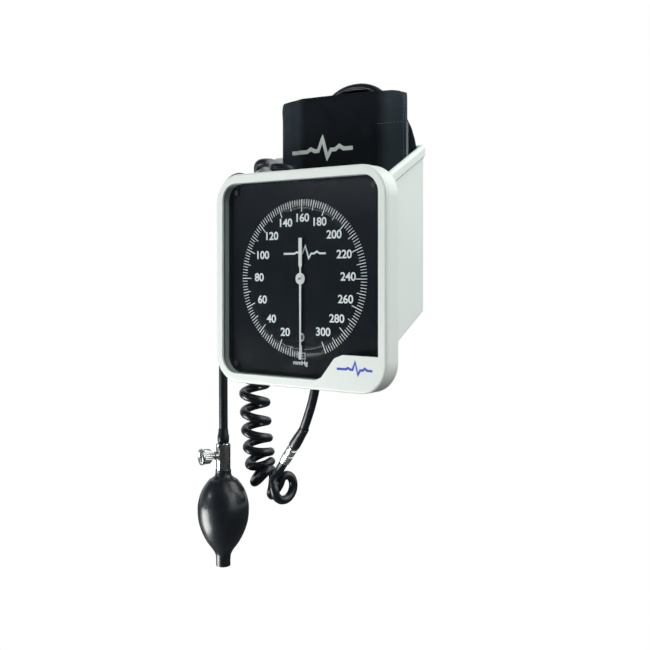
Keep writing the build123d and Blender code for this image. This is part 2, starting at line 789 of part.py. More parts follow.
def across_valve(distance):
    """Plane square to the release needle, at a distance from the valve body's axis."""
    return Plane(origin=valve_axis + valve_way * distance, x_dir=(0, 0, 1), z_dir=valve_way)


with BuildPart() as bulb_hose_sleeve:
    with BuildSketch(Plane.XY.offset(valve_top)):
        with Locations((bulb_x, bulb_y)):
            Circle(4.9)
    with BuildSketch(Plane.XY.offset(-138.5)):
        with Locations((bulb_x, bulb_y)):
            Circle(5.1)
    with BuildSketch(Plane.XY.offset(-136)):
        with Locations((bulb_x, bulb_y)):
            Circle(4.2)
    loft()
save("bulb_hose_sleeve", bulb_hose_sleeve)

neck_bottom = bulb_top - 8.0
neck_r = 4.0
knob_boss_r = 3.6
needle_bore_r = 1.9
with BuildPart() as valve_body:
    with BuildSketch(Plane.XY.offset(bulb_top)):
        with Locations((bulb_x, bulb_y)):
            Circle(valve_r)
    extrude(amount=valve_top - bulb_top)
    body_rim = valve_body.edges().filter_by(GeomType.CIRCLE).sort_by(Axis.Z)[-1]
    chamfer(body_rim, 0.7)
    with BuildSketch(Plane.XY.offset(neck_bottom)):
        with Locations((bulb_x, bulb_y)):
            Circle(neck_r)
    extrude(amount=bulb_top - neck_bottom)
    with BuildSketch(across_valve(4.0)):
        Circle(knob_boss_r)
    extrude(amount=4.0)
    with BuildSketch(Plane.XY.offset(neck_bottom)):
        with Locations((bulb_x, bulb_y)):
            Circle(1.6)
    extrude(amount=valve_top - neck_bottom - 2.0, mode=Mode.SUBTRACT)
    with BuildSketch(across_valve(0)):
        Circle(needle_bore_r)
    extrude(amount=8.0, mode=Mode.SUBTRACT)
save("valve_body", valve_body)

with BuildPart() as valve_needle:
    with BuildSketch(across_valve(2.0)):
        Circle(1.85)
    extrude(amount=18.0)
    needle_tip = valve_needle.edges().filter_by(GeomType.CIRCLE).sort_by_distance(valve_axis)[0]
    chamfer(needle_tip, 0.9)
save("valve_needle", valve_needle)

knob_inner = 8.6
knob_outer = 21.7
disc_thick = 2.4
disc_r = 7.2
flutes = 24
with BuildPart() as valve_knob:
    with BuildSketch(across_valve(knob_inner)):
        Circle(4.6)
    with BuildSketch(across_valve(knob_outer - disc_thick)):
        Circle(disc_r - 0.3)
    loft()
    with BuildSketch(across_valve(knob_outer - disc_thick)):
        Circle(disc_r)
    extrude(amount=disc_thick)
    with BuildSketch(across_valve(knob_inner)):
        with PolarLocations(disc_r - 0.3, flutes):
            Circle(0.5)
    extrude(amount=knob_outer - disc_thick - knob_inner, mode=Mode.SUBTRACT)
    with BuildSketch(across_valve(knob_inner)):
        Circle(needle_bore_r)
    extrude(amount=knob_outer - 1.5 - knob_inner, mode=Mode.SUBTRACT)
save("valve_knob", valve_knob)


# ---------------------------------------------------------------- squeeze bulb and intake valve
bulb_profile = [(6.9, -171.6), (7.6, -176.1), (13.4, -180.5), (19.2, -189.5), (22.85, -207.4),
                (19.2, -225.2), (14.7, -234.2), (8.5, -243.1), (6.6, -247.5)]
bulb_wall = 2.4
nozzle_bottom = -257.0
seat_r = 4.2                # intake valve's seat in the nozzle

bulb_section = Plane(origin=(bulb_x, bulb_y, 0), x_dir=(1, 0, 0), z_dir=(0, -1, 0))
bulb_axis = Axis((bulb_x, bulb_y, 0), (0, 0, 1))
with BuildPart() as squeeze_bulb:
    with BuildSketch(bulb_section):
        with BuildLine():
            outline = Spline(*bulb_profile)
            Line(outline @ 1, (6.2, nozzle_bottom))
            Line((6.2, nozzle_bottom), (0, nozzle_bottom))
            Line((0, nozzle_bottom), (0, bulb_profile[0][1]))
            Line((0, bulb_profile[0][1]), outline @ 0)
        make_face()
    revolve(axis=bulb_axis)
    with BuildSketch(bulb_section):
        with BuildLine():
            hollow = Spline(*[(radius - bulb_wall, z) for radius, z in bulb_profile[1:-1]])
            Line(hollow @ 1, (0, bulb_profile[-2][1]))
            Line((0, bulb_profile[-2][1]), (0, bulb_profile[1][1]))
            Line((0, bulb_profile[1][1]), hollow @ 0)
        make_face()
    revolve(axis=bulb_axis, mode=Mode.SUBTRACT)
    with BuildSketch(Plane.XY.offset(neck_bottom)):
        with Locations((bulb_x, bulb_y)):
            Circle(neck_r)
    extrude(amount=10, mode=Mode.SUBTRACT)
    with BuildSketch(Plane.XY.offset(nozzle_bottom)):
        with Locations((bulb_x, bulb_y)):
            Circle(seat_r)
    extrude(amount=20, mode=Mode.SUBTRACT)
save("squeeze_bulb", squeeze_bulb)

ball_r = 1.6
ball_z = -246.0
ball_rise = 1.4
intake_bottom = nozzle_bottom + 0.6
intake_length = 14.0
with BuildPart() as intake_valve:
    with BuildSketch(Plane.XY.offset(intake_bottom)):
        with Locations((bulb_x, bulb_y)):
            Circle(seat_r)
            Circle(1.1, mode=Mode.SUBTRACT)
    extrude(amount=intake_length)
    with BuildSketch(Plane.XY.offset(ball_z - ball_r)):
        with Locations((bulb_x, bulb_y)):
            Circle(2.3)
    extrude(amount=2 * ball_r + ball_rise, mode=Mode.SUBTRACT)
save("intake_valve", intake_valve)

with BuildPart() as check_ball:
    with Locations((bulb_x, bulb_y, ball_z)):
        Sphere(ball_r)
save("check_ball", check_ball)
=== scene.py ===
"""Looks for the wall-mounted clock aneroid sphygmomanometer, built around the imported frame."""
import math

import bmesh
import bpy
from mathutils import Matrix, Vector
from mathutils.bvhtree import BVHTree


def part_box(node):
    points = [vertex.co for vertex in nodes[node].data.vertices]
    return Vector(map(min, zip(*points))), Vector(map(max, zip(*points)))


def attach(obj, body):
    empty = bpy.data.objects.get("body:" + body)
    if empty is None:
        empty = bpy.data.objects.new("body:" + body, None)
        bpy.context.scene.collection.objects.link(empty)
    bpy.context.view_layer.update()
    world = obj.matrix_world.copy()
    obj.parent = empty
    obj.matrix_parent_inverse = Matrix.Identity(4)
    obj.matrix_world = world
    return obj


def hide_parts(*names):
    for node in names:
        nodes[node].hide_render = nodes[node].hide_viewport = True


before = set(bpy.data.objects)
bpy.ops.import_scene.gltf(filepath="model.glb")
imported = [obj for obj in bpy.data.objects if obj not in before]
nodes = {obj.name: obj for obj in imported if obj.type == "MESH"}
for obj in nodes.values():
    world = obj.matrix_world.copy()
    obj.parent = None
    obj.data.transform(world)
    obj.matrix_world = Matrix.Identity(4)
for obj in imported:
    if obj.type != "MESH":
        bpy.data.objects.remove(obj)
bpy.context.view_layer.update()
scene = bpy.context.scene

MM = 0.001
TUBE_D = 7.8 * MM
FACE_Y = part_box("front_bezel")[0].y
DIAL_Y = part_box("dial_plate")[0].y
PRINT_LIFT = 0.06 * MM


# ---------------------------------------------------------------- camera
camera_data = bpy.data.cameras.new("camera")
camera_data.lens = 53.395
camera_data.sensor_width = 36.0
camera_data.shift_y = -0.0834
camera = bpy.data.objects.new("camera", camera_data)
camera.location = (0.4934, -0.6819, 0.00644)
camera.rotation_euler = (math.radians(90), 0, math.radians(37.25))
scene.collection.objects.link(camera)
scene.camera = camera
scene.view_settings.view_transform = "Standard"


# ---------------------------------------------------------------- materials
class Surface:
    """A node-based material: a Principled shader fed by textures in the row frame, in metres."""

    def __init__(self, name, colour, roughness, metallic=0.0, coat=0.0, sheen=0.0, specular=0.5):
        self.material = bpy.data.materials.new(name)
        self.material.use_nodes = True
        self.tree = self.material.node_tree
        self.shader = self.tree.nodes["Principled BSDF"]
        self.set("Base Color", (*colour, 1))
        self.set("Roughness", roughness)
        self.set("Metallic", metallic)
        self.set("Coat Weight", coat)
        self.set("Coat Roughness", 0.08)
        self.set("Sheen Weight", sheen)
        self.set("Sheen Roughness", 0.5)
        self.set("Specular IOR Level", specular)
        self.place = self.node("ShaderNodeTexCoord").outputs["Object"]
        self.colour = colour
        self.height = None

    def set(self, socket, value):
        self.shader.inputs[socket].default_value = value

    def node(self, kind, **settings):
        made = self.tree.nodes.new(kind)
        for key, value in settings.items():
            setattr(made, key, value)
        return made

    def link(self, out_socket, in_socket):
        self.tree.links.new(out_socket, in_socket)

    def stretched(self, scale):
        mapping = self.node("ShaderNodeMapping")
        mapping.inputs["Scale"].default_value = scale
        self.link(self.place, mapping.inputs["Vector"])
        return mapping.outputs["Vector"]

    def noise(self, scale, detail, where=None):
        texture = self.node("ShaderNodeTexNoise")
        texture.inputs["Scale"].default_value = scale
        texture.inputs["Detail"].default_value = detail
        self.link(where or self.place, texture.inputs["Vector"])
        return texture.outputs["Fac"]

    def across(self, start, end, most):
        """Rises from 0 to most as X goes from start to end, in metres."""
        split = self.node("ShaderNodeSeparateXYZ")
        self.link(self.place, split.inputs["Vector"])
        span = self.node("ShaderNodeMapRange", interpolation_type="SMOOTHSTEP")
        span.inputs["From Min"].default_value = start
        span.inputs["From Max"].default_value = end
        span.inputs["To Max"].default_value = most
        self.link(split.outputs["X"], span.inputs["Value"])
        return span.outputs["Result"]

    def threads(self, axis, scale):
        texture = self.node("ShaderNodeTexWave", wave_type="BANDS", bands_direction=axis)
        texture.inputs["Scale"].default_value = scale
        self.link(self.place, texture.inputs["Vector"])
        return texture.outputs["Fac"]

    def math(self, operation, first, second):
        made = self.node("ShaderNodeMath", operation=operation)
        for socket, value in zip(made.inputs, (first, second)):
            if isinstance(value, (int, float)):
                socket.default_value = value
            else:
                self.link(value, socket)
        return made.outputs[0]

    def tint(self, factor, other, low=0.35, high=0.65):
        """Colour that drifts from the base colour towards another where factor is high."""
        ramp = self.node("ShaderNodeValToRGB")
        ramp.color_ramp.elements[0].position = low
        ramp.color_ramp.elements[0].color = (*self.colour, 1)
        ramp.color_ramp.elements[1].position = high
        ramp.color_ramp.elements[1].color = (*other, 1)
        self.link(factor, ramp.inputs["Fac"])
        self.link(ramp.outputs["Color"], self.shader.inputs["Base Color"])

    def wear(self, factor, low, high):
        """Roughness from low to high as factor goes from 0 to 1."""
        span = self.node("ShaderNodeMapRange")
        span.inputs["To Min"].default_value = low
        span.inputs["To Max"].default_value = high
        self.link(factor, span.inputs["Value"])
        self.link(span.outputs["Result"], self.shader.inputs["Roughness"])

    def bump(self, factor, depth, strength):
        """Relief of that depth in metres, on top of what is there already."""
        made = self.node("ShaderNodeBump")
        made.inputs["Strength"].default_value = strength
        made.inputs["Distance"].default_value = depth
        self.link(factor, made.inputs["Height"])
        if self.height is not None:
            self.link(self.height, made.inputs["Normal"])
        self.height = made.outputs["Normal"]
        self.link(self.height, self.shader.inputs["Normal"])


def moulded(name, colour, shade, roughness, grain=2200, depth=0.02 * MM, specular=0.5):
    made = Surface(name, colour, roughness, specular=specular)
    made.tint(made.noise(9, 2), shade)
    made.wear(made.noise(70, 4), roughness - 0.06, roughness + 0.08)
    made.bump(made.noise(grain, 2), depth, 0.35)
    return made.material


def metal(name, colour, shade, roughness):
    made = Surface(name, colour, roughness, metallic=1.0)
    made.tint(made.noise(160, 4), shade)
    brushed = made.noise(900, 3, made.stretched((1, 1, 0.08)))
    made.wear(brushed, max(0.02, roughness - 0.04), roughness + 0.06)
    made.bump(brushed, 0.01 * MM, 0.25)
    return made.material


def rubber(name, colour, shade, roughness, coat):
    made = Surface(name, colour, roughness, coat=coat)
    made.set("Coat Roughness", 0.2)
    made.tint(made.noise(45, 3), shade)
    made.wear(made.noise(240, 4), roughness - 0.05, roughness + 0.09)
    made.bump(made.noise(1400, 3), 0.03 * MM, 0.3)
    made.bump(made.noise(120, 2), 0.12 * MM, 0.18)
    return made.material


def woven(name, colour, shade, pitch, depth, sheen, specular=0.12, paint_lit_ends=False):
    """Plain weave: two crossed sets of threads, with slubs and a slow change of shade.

    Optionally the cloth is painted paler towards the two ends of the roll: painted light standing in
    for the light that falls on the roll's curved ends.
    """
    made = Surface(name, colour, 0.62, sheen=sheen, specular=specular)
    bands = math.pi / (10 * pitch)
    crossed = made.math("MAXIMUM", made.threads("X", bands), made.threads("Z", bands))
    drift = made.noise(26, 5)
    if paint_lit_ends:
        # Painted light: paler bands at the roll's two ends, where light falls on its curved ends.
        painted_end_light = made.math("MAXIMUM", made.across(43 * MM, 60 * MM, 0.62),
                           made.across(-26 * MM, -38 * MM, 0.36))
        drift = made.math("ADD", made.math("MULTIPLY", drift, 0.55), painted_end_light)
    made.tint(drift, shade, 0.3, 1.0 if paint_lit_ends else 0.75)
    made.wear(crossed, 0.74, 0.5)
    made.bump(crossed, depth, 0.5)
    made.bump(made.noise(380, 3), depth * 2, 0.25)
    return made.material


head_white = moulded("head_white", (0.77, 0.82, 0.775), (0.73, 0.79, 0.74), 0.34)
basket_white = moulded("basket_white", (0.80, 0.86, 0.82), (0.75, 0.82, 0.775), 0.42)
dial_ink = moulded("dial_black", (0.0056, 0.0078, 0.0112), (0.0075, 0.0105, 0.015), 0.22, 3200,
                   0.002 * MM, 0.3)
surround_grey = moulded("surround_grey", (0.50, 0.57, 0.54), (0.44, 0.50, 0.47), 0.3)
case_black = moulded("case_black", (0.012, 0.012, 0.013), (0.02, 0.02, 0.021), 0.45)
union_black = moulded("union_black", (0.015, 0.016, 0.018), (0.022, 0.023, 0.026), 0.4)
pointer_white = moulded("pointer_white", (0.86, 0.88, 0.84), (0.8, 0.83, 0.79), 0.4, 3000)
ink_white = moulded("ink_white", (0.90, 0.94, 0.93), (0.82, 0.87, 0.87), 0.55, 3500)
ink_blue = moulded("ink_blue", (0.006, 0.045, 0.52), (0.01, 0.07, 0.6), 0.4, 3500)
print_white = moulded("print_white", (0.68, 0.75, 0.70), (0.54, 0.61, 0.57), 0.7, 1200, 0.08 * MM)
thread_grey = moulded("thread_grey", (0.05, 0.066, 0.078), (0.08, 0.1, 0.115), 0.7, 2600, 0.05 * MM)
chrome = metal("chrome", (0.80, 0.81, 0.80), (0.66, 0.68, 0.67), 0.15)
knob_chrome = metal("knob_chrome", (0.80, 0.83, 0.82), (0.64, 0.68, 0.67), 0.24)
luer_chrome = metal("luer_chrome", (0.86, 0.88, 0.87), (0.76, 0.79, 0.78), 0.27)
screw_steel = metal("screw_steel", (0.62, 0.63, 0.64), (0.5, 0.51, 0.52), 0.25)
needle_steel = metal("needle_steel", (0.6, 0.6, 0.6), (0.45, 0.45, 0.46), 0.22)
bracket_steel = metal("bracket_steel", (0.55, 0.57, 0.58), (0.42, 0.44, 0.46), 0.34)
brass = metal("movement_brass", (0.72, 0.52, 0.22), (0.6, 0.42, 0.17), 0.24)
bronze = metal("spring_bronze", (0.62, 0.4, 0.22), (0.5, 0.32, 0.17), 0.26)
seal_rubber = rubber("seal_rubber", (0.16, 0.185, 0.175), (0.2, 0.225, 0.215), 0.6, 0.0)
hose_black = rubber("hose_black", (0.0055, 0.0085, 0.0125), (0.010, 0.0145, 0.0195), 0.28, 0.1)
bulb_black = rubber("bulb_black", (0.0055, 0.0085, 0.0125), (0.009, 0.0135, 0.019), 0.34, 0.4)
# Besides the random tone, the second colour is the painted light on the roll's two ends.
cuff_navy = woven("cuff_navy", (0.0042, 0.0064, 0.0098), (0.034, 0.048, 0.058),
                  0.55 * MM, 0.06 * MM, 0.02, 0.08, paint_lit_ends=True)
# Tape much paler than the cloth: its own tone plus a painted highlight along the roll's free edge.
trim_navy = woven("trim_navy", (0.13, 0.16, 0.19), (0.22, 0.26, 0.29), 0.4 * MM, 0.08 * MM, 0.1, 0.3)
hook_black = woven("hook_black", (0.012, 0.014, 0.017), (0.022, 0.025, 0.03),
                   1.1 * MM, 0.35 * MM, 0.05, 0.2)


def clear_plastic():
    """Flat clear window: lets light straight through and mirrors a little, more at a slant."""
    material = bpy.data.materials.new("lens_clear")
    material.use_nodes = True
    tree = material.node_tree
    add, link = tree.nodes.new, tree.links.new
    tree.nodes.remove(tree.nodes["Principled BSDF"])
    through = add("ShaderNodeBsdfTransparent")
    through.inputs["Color"].default_value = (0.97, 0.98, 0.98, 1)
    mirror = add("ShaderNodeBsdfGlossy")
    mirror.inputs["Roughness"].default_value = 0.05
    place = add("ShaderNodeTexCoord")
    haze = add("ShaderNodeTexNoise")
    haze.inputs["Scale"].default_value = 35
    link(place.outputs["Object"], haze.inputs["Vector"])
    relief = add("ShaderNodeBump")
    relief.inputs["Distance"].default_value = 0.02 * MM
    relief.inputs["Strength"].default_value = 0.2
    link(haze.outputs["Fac"], relief.inputs["Height"])
    link(relief.outputs["Normal"], mirror.inputs["Normal"])
    edge = add("ShaderNodeLayerWeight")
    edge.inputs["Blend"].default_value = 0.07
    mix = add("ShaderNodeMixShader")
    link(edge.outputs["Facing"], mix.inputs["Fac"])
    link(through.outputs["BSDF"], mix.inputs[1])
    link(mirror.outputs["BSDF"], mix.inputs[2])
    link(mix.outputs["Shader"], tree.nodes["Material Output"].inputs["Surface"])
    return material


lens_clear = clear_plastic()

CAD_LOOKS = {
    "wall_bracket": bracket_steel, "storage_basket": basket_white, "front_bezel": head_white,
    "rear_housing": head_white, "lens": lens_clear, "lens_gasket": seal_rubber,
    "dial_surround": surround_grey, "dial_plate": dial_ink, "dial_screws": case_black,
    "head_screws": screw_steel, "movement_case": case_black, "case_screws": screw_steel,
    "top_plate": brass, "bottom_plate": brass, "plate_pillars": brass, "plate_screws": screw_steel,
    "pinion_shaft": screw_steel, "sector_gear": brass, "hairspring": bronze,
    "pressure_capsule": bronze, "capsule_plunger": brass, "gauge_port": brass,
    "pointer": pointer_white, "luer_socket": luer_chrome, "luer_plug": luer_chrome,
    "luer_collar": luer_chrome,
    "hose_union": union_black, "bladder_ports": hose_black, "valve_body": chrome,
    "valve_needle": needle_steel, "valve_knob": chrome, "intake_valve": screw_steel,
    "check_ball": needle_steel,
}
for node_name, look in CAD_LOOKS.items():
    for material_slot in nodes[node_name].material_slots:
        material_slot.material = look


# ---------------------------------------------------------------- helpers
def add_mesh(name, verts, faces, material, body, smooth=True, sharp_angle=35):
    """One mesh piece in the row frame, riding on a body."""
    mesh = bpy.data.meshes.new(name)
    mesh.from_pydata([tuple(v) for v in verts], [], faces)
    piece = bpy.data.objects.new(name, mesh)
    scene.collection.objects.link(piece)
    finish_mesh(piece, smooth, sharp_angle)
    mesh.materials.append(material)
    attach(piece, body)
    return piece


def finish_mesh(piece, smooth, sharp_angle):
    shape = bmesh.new()
    shape.from_mesh(piece.data)
    bmesh.ops.remove_doubles(shape, verts=shape.verts, dist=1e-6)
    bmesh.ops.recalc_face_normals(shape, faces=shape.faces)
    for face in shape.faces:
        face.smooth = smooth
    for edge in shape.edges:
        edge.smooth = not (len(edge.link_faces) == 2
                           and edge.calc_face_angle() > math.radians(sharp_angle))
    shape.to_mesh(piece.data)
    shape.free()


def lathe(name, origin, axis, profile, material, body, segments=72):
    """Solid of revolution: profile is (radius, distance along the axis) in metres."""
    axis = Vector(axis).normalized()
    side = axis.orthogonal().normalized()
    other = axis.cross(side)
    verts, faces, rings = [], [], []
    for radius, distance in profile:
        centre = Vector(origin) + axis * distance
        if radius < 1e-7:
            rings.append([len(verts)] * segments)
            verts.append(centre)
            continue
        rings.append(list(range(len(verts), len(verts) + segments)))
        for step in range(segments):
            turn = 2 * math.pi * step / segments
            verts.append(centre + (side * math.cos(turn) + other * math.sin(turn)) * radius)
    for ring, following in zip(rings, rings[1:]):
        for step in range(segments):
            after = (step + 1) % segments
            corners = [ring[step], ring[after], following[after], following[step]]
            face = list(dict.fromkeys(corners))
            if len(face) > 2:
                faces.append(face)
    return add_mesh(name, verts, faces, material, body)


def smooth_line(points, steps):
    """Catmull-Rom points through the given ones, of any dimension."""
    made = []
    padded = [points[0], *points, points[-1]]
    for index in range(1, len(padded) - 2):
        before, start, end, after = padded[index - 1:index + 3]
        for step in range(steps):
            t = step / steps
            made.append(tuple(
                0.5 * ((2 * s) + (e - b) * t + (2 * b - 5 * s + 4 * e - a) * t * t
                       + (3 * s - b - 3 * e + a) * t ** 3)
                for b, s, e, a in zip(before, start, end, after)))
    made.append(tuple(points[-1]))
    return made


def hose(name, points):
    """Rubber tube on one smooth line, a NURBS spline with control points in metres."""
    curve = bpy.data.curves.new(name, "CURVE")
    curve.dimensions = "3D"
    spline = curve.splines.new("NURBS")
    spline.points.add(len(points) - 1)
    for point, where in zip(spline.points, points):
        point.co = (*where, 1)
    spline.order_u = 3
    spline.use_endpoint_u = True
    spline.resolution_u = 5
    curve.bevel_depth = TUBE_D / 2
    curve.bevel_resolution = 5
    curve.use_fill_caps = True
    curve.materials.append(hose_black)
    piece = bpy.data.objects.new(name, curve)
    scene.collection.objects.link(piece)
    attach(piece, "unit")
    return piece


def metres(points):
    """The same points or profile rows, from mm."""
    return [tuple(value * MM for value in point) for point in points]


# ---------------------------------------------------------------- gauge hose and its fittings
PORT_END = (0, -42.6, -36)
gauge_route = [PORT_END, (1.2, -43.2, -57), (0.6, -43.0, -76), (-3.2, -42.8, -94.5),
               (-9.6, -41.8, -113), (-18.2, -40.0, -129.9)]
gauge_hose = hose("gauge_hose_tube", metres(gauge_route))
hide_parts("gauge_hose")

luer_start = Vector(gauge_route[-1]) * MM
luer_end = Vector((-42.0, -36.0, -159.4)) * MM
luer_way = (luer_end - luer_start).normalized()
luer_reach = (luer_end - luer_start).length
SLEEVE_REACH = 19 * MM
LUER_GAP = 0.2 * MM
half_luer = (luer_reach - SLEEVE_REACH) / 2
collar_at = SLEEVE_REACH + half_luer + LUER_GAP

sleeve_profile = [(3.7, -3.5), (4.1, -3.2), (4.25, -2.0), (4.35, 4.0), (4.75, 9.0), (4.95, 15.5),
                  (4.9, 18.2), (4.55, 18.9), (3.0, 18.9)]
sleeve = lathe("hose_sleeve_rubber", luer_start, luer_way,
               metres(sleeve_profile), hose_black, "unit")
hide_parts("hose_sleeve")

socket_profile = [(3.4, 0.0), (4.2, 0.1), (4.45, 0.5), (4.45, 1.4), (3.9, 1.7), (3.9, 2.3),
                  (4.5, 2.7), (4.6, 3.4), (4.6, 7.4), (4.35, 8.2), (4.35, 9.0), (3.6, 9.3)]
socket_scale = (half_luer - LUER_GAP) / (socket_profile[-1][1] * MM)
socket = lathe("luer_socket_chrome", luer_start + luer_way * SLEEVE_REACH, luer_way,
               [(r, z * socket_scale) for r, z in metres(socket_profile)],
               luer_chrome, "unit")
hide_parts("luer_socket")


def fluted(name, origin, axis, profile, ridges, ridge_depth, material, body):
    """Turned part whose outer rings carry ridges: profile rows are (radius, distance, share)."""
    axis = Vector(axis).normalized()
    side = axis.orthogonal().normalized()
    other = axis.cross(side)
    segments = ridges * 6
    verts, faces = [], []
    for radius, distance, share in profile:
        for step in range(segments):
            turn = 2 * math.pi * step / segments
            wave = 0.5 - 0.5 * math.cos(turn * ridges)
            reach = radius - ridge_depth * share * wave
            verts.append(Vector(origin) + axis * distance
                         + (side * math.cos(turn) + other * math.sin(turn)) * reach)
    for row in range(len(profile) - 1):
        for step in range(segments):
            after = (step + 1) % segments
            faces.append([row * segments + step, row * segments + after,
                          (row + 1) * segments + after, (row + 1) * segments + step])
    faces.append(list(range(segments)))
    faces.append(list(range((len(profile) - 1) * segments, len(profile) * segments)))
    return add_mesh(name, verts, faces, material, body, sharp_angle=50)


collar_reach = half_luer - 2.5 * MM
collar_profile = [(4.2 * MM, 0, 0), (4.65 * MM, 0.4 * MM, 0), (4.7 * MM, 1.0 * MM, 1),
                  (4.7 * MM, collar_reach - 1.0 * MM, 1),
                  (4.65 * MM, collar_reach - 0.4 * MM, 0), (4.3 * MM, collar_reach, 0)]
collar = fluted("luer_collar_chrome", luer_start + luer_way * collar_at, luer_way, collar_profile,
                20, 0.16 * MM, luer_chrome, "collar")
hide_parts("luer_collar")


# ---------------------------------------------------------------- curly hose
COIL_R = 10.45
PER_TURN = 16
# A quadratic spline cuts inside its control points, so they stand a little further out.
SPREAD = 1 / (0.75 + 0.25 * math.cos(2 * math.pi / PER_TURN))
view_right = Vector((0.796, 0.605, 0))
view_back = Vector((0.605, -0.796, 0))
down = Vector((0, 0, -1))


def leaning(angle, towards_viewer=0.0):
    """Axis of a turn that leans from straight down towards the right of the picture."""
    lean = math.radians(angle)
    flat = down * math.cos(lean) + view_right * math.sin(lean)
    return (flat + view_back * towards_viewer).normalized()


def stations_at(stations, turn):
    """Centre, axis and radius between two stations (turn, centre, axis, radius)."""
    for first, second in zip(stations, stations[1:]):
        if turn <= second[0]:
            break
    share = min(1.0, max(0.0, (turn - first[0]) / (second[0] - first[0])))
    centre = Vector(first[1]).lerp(Vector(second[1]), share)
    axis = first[2].lerp(second[2], share).normalized()
    return centre, axis, first[3] + (second[3] - first[3]) * share


def helix(stations, first_turn, last_turn, start_side):
    """Control points of coils that follow the stations, starting on start_side of the centre."""
    points = []
    count = round((last_turn - first_turn) * PER_TURN)
    side = Vector(start_side)
    for step in range(count + 1):
        turn = first_turn + (last_turn - first_turn) * step / count
        centre, axis, radius = stations_at(stations, turn)
        side = (side - axis * side.dot(axis)).normalized()
        angle = 2 * math.pi * (turn - first_turn)
        around = side * math.cos(angle) + axis.cross(side) * math.sin(angle)
        points.append(tuple(centre + around * radius * SPREAD))
    return points


loop_centre = (-46.7, -31.0, -183.1)
loop_axis = (view_back * 0.70 + view_right * 0.71).normalized()
hanging_stations = [
    (0.0, loop_centre, loop_axis, 11.2),
    (0.62, loop_centre, loop_axis, 11.2),
    (1.0, (-50.5, -22.8, -184.0), loop_axis, 8.0),
    (1.35, (-71.0, -21.5, -185.9), leaning(80, 0.45), 9.9),
    (2.1, (-81.2, -20.0, -178.6), leaning(52, 0.15), COIL_R),
    (3.0, (-86.2, -17.0, -169.6), leaning(20), COIL_R),
    (4.0, (-89.2, -16.0, -157.4), leaning(5), COIL_R),
    (5.0, (-91.4, -16.0, -143.1), down, COIL_R),
    (6.0, (-92.9, -16.0, -127.1), down, COIL_R),
    (7.0, (-94.0, -16.0, -109.6), down, COIL_R),
    (18.6, (-96.0, -16.0, 73.5), down, COIL_R),
]
loop_start = [luer_end / MM, luer_end / MM + luer_way * 7]
loop_lead = [(-50.5, -36.3, -171.5), (-52.0, -40.8, -178.0)]
hanging_coil = helix(hanging_stations, 0.04, 18.6, -view_right)
over_rim = [(-90.5, -8, 78), (-88, -13, 88), (-86.5, -21, 98.5), (-80, -26, 103.6),
            (-67, -27.5, 103.0), (-58.5, -32.5, 101.3), (-51.5, -40, 98)]
inside_stations = [
    (0.0, (-38, -39.4, 95.6), -down, COIL_R),
    (1.2, (-39.5, -39.4, 86.5), -down, COIL_R),
    (3.4, (-47, -39.0, 68.5), -down, COIL_R),
    (11.317, (-50, -38.6, 3.5), -down, COIL_R),
]
inside_coil = helix(inside_stations, 0.0, 11.317, (-0.6, -0.8, 0))
stow_axis = Vector((-1, 0, 0))
link = [(-44.0, -30.0, -1.5), (-38.0, -26.5, -5.5)]
stowed_stations = [(0.0, (-30, -23, -18), stow_axis, COIL_R),
                   (7.9, (35, -23, -18), stow_axis, COIL_R)]
stowed_coil = helix(stowed_stations, 0.0, 7.3, (0, 0, 1))
coil_end = [(33.5, -13.2, -26.5), (41, -15, -27.8), (48, -15.5, -24.5),
            (56.5, -14.6, -15), (61, -14.2, 2), (62, -14.2, 20)]
curly_points = ([tuple(p) for p in loop_start] + loop_lead + hanging_coil + over_rim
                + inside_coil + link + stowed_coil + coil_end)
curly_hose = hose("curly_hose_tube", metres(curly_points))
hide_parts("coil_start_hose", "coil_hanging", "over_rim_hose", "coil_inside",
            "coil_link_hose", "coil_stowed", "coil_end_hose")


# ---------------------------------------------------------------- cuff hose and bulb hose
CORE_Y = -14.2
cuff_route = [(62, CORE_Y, 23), (64.5, CORE_Y, 74), (63, CORE_Y, 121), (50.0, CORE_Y, 149),
              (32, CORE_Y, 161.4), (6, CORE_Y, 161.2), (-12, CORE_Y, 149), (-19.5, CORE_Y, 122),
              (-21, CORE_Y, 98)]
cuff_hose = hose("cuff_hose_tube", metres(cuff_route))
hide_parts("cuff_hose")

BULB_X = -100.5
BULB_Y = -51.0
bulb_route = [(-36, CORE_Y, 62), (-40, CORE_Y, 32), (-46.5, CORE_Y, 4), (-49, -18, -14),
              (-57, -27, -26), (-67, -39, -27), (-70.5, -47.5, -14), (-69, -49.8, 8),
              (-68.4, -50.1, 44), (-68, -50.2, 75), (-73.5, -51.8, 89.2), (-88, -52.2, 88.6),
              (-99.8, -50.8, 78), (-100.8, BULB_Y, 46), (-100.3, BULB_Y, -8),
              (-100.7, BULB_Y, -64), (BULB_X, BULB_Y, -112), (BULB_X + 0.2, BULB_Y, -136)]
bulb_hose = hose("bulb_hose_tube", metres(bulb_route))
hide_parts("bulb_hose")

bulb_axis_at = (BULB_X * MM, BULB_Y * MM, 0)
hose_end_profile = [(3.7, -134.2), (4.15, -134.5), (4.3, -135.6), (4.55, -138.4), (5.15, -141.2),
                    (5.2, -144.6), (4.95, -146.9), (4.5, -147.5), (3.0, -147.5)]
hose_end = lathe("bulb_hose_end", bulb_axis_at, (0, 0, 1),
                 metres(hose_end_profile), hose_black, "unit")
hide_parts("bulb_hose_sleeve")


